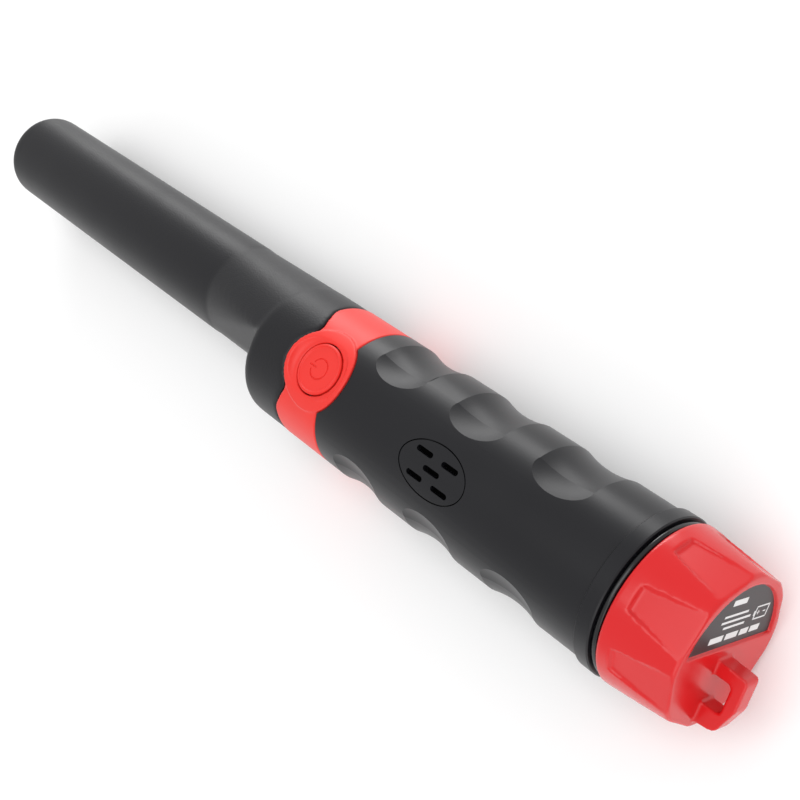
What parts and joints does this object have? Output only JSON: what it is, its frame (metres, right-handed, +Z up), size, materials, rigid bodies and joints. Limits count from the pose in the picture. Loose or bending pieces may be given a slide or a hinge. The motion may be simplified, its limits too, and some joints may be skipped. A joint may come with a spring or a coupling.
{
  "type": "pinpointer probe",
  "caption": "Hand-held metal detecting pinpointer with a slim sensing tube, scalloped grip, rubber power button, speaker slots and a screw battery cap with a lanyard loop.",
  "frame": {"origin": "middle of the underside of the probe lying on its back, below the grip's axis", "axes": "+X along the probe to its tip, +Z up through the button, +Y to the side that the shoulder's light is on"},
  "size_m": [0.3076, 0.0402, 0.0402],
  "materials": {
    "black_grained_plastic": "fine grained matt",
    "black_satin_plastic": "smooth satin",
    "warm_red_rubber": "smooth matt",
    "red_plastic": "satin gloss",
    "black_rubber": "smooth, oiled",
    "dark_cloth": "fine weave",
    "label_film": "printed film",
    "dark_foam": "open-cell foam",
    "clear_lens": "clear polycarbonate",
    "white_plastic": "moulded satin",
    "board_green": "solder mask",
    "chip_black": "moulded epoxy",
    "steel": "nickel plated",
    "brass": "bare",
    "wire_blue": "insulated wire",
    "wire_red": "insulated wire",
    "battery_jacket": "lacquered steel can",
    "ferrite": "pressed ceramic",
    "copper_wire": "enamelled winding"
  },
  "bodies": {
    "housing": {"probe_shell": "black_grained_plastic", "grip_shell": "black_satin_plastic", "rubber_band": "warm_red_rubber", "speaker_grille": "black_satin_plastic", "speaker_membrane": "dark_cloth", "collar_ring": "black_satin_plastic", "neck_seal": "black_rubber", "shell_seal": "black_rubber", "led_lens": "clear_lens", "led_lamp": "clear_lens", "led_leads": "steel", "chassis": "white_plastic", "circuit_board": "board_green", "board_screws": "steel", "processor_chip": "chip_black", "capacitors": "chip_black", "voltage_regulator": "chip_black", "switch_case": "chip_black", "buzzer_case": "chip_black", "buzzer_disc": "brass", "motor_case": "steel", "motor_boot": "black_rubber", "motor_leads": "wire_blue", "bulkhead": "chip_black", "battery": "battery_jacket", "battery_terminals": "steel", "snap_connector": "chip_black", "battery_leads": "wire_red", "ferrite_rod": "ferrite", "coil_former": "white_plastic", "transmit_coil": "copper_wire", "receive_coil": "copper_wire", "centering_rings": "dark_foam", "coil_leads": "copper_wire"},
    "button": {"button_cap": "warm_red_rubber", "button_plunger": "white_plastic", "switch_stem": "white_plastic"},
    "motor_rotor": {"motor_shaft": "steel", "eccentric_weight": "brass"},
    "pad": {"pressure_pad": "dark_foam"},
    "cap": {"battery_cap": "red_plastic", "cap_label": "label_film"}
  },
  "joints": [
    {"name": "button_press", "type": "slide", "parent": "housing", "child": "button", "axis": [0, 0, -1], "range_m": [0, 0.0005], "stiffness_N_per_m": 2000},
    {"name": "motor_spin", "type": "hinge", "parent": "housing", "child": "motor_rotor", "pos_m": [-0.08225, 0, 0.0151], "axis": [1, 0, 0], "continuous": true},
    {"name": "cap_travel", "type": "slide", "parent": "housing", "child": "pad", "axis": [-1, 0, 0], "range_m": [0, 0.0091]},
    {"name": "cap_unscrew", "type": "hinge", "parent": "pad", "child": "cap", "pos_m": [-0.13825, 0, 0.0201], "axis": [-1, 0, 0], "range_deg": [0, 1080]}
  ],
  "couplings": [
    {"joint": "cap_travel", "follows": "cap_unscrew", "m_per_rad": 0.00047746}
  ]
}
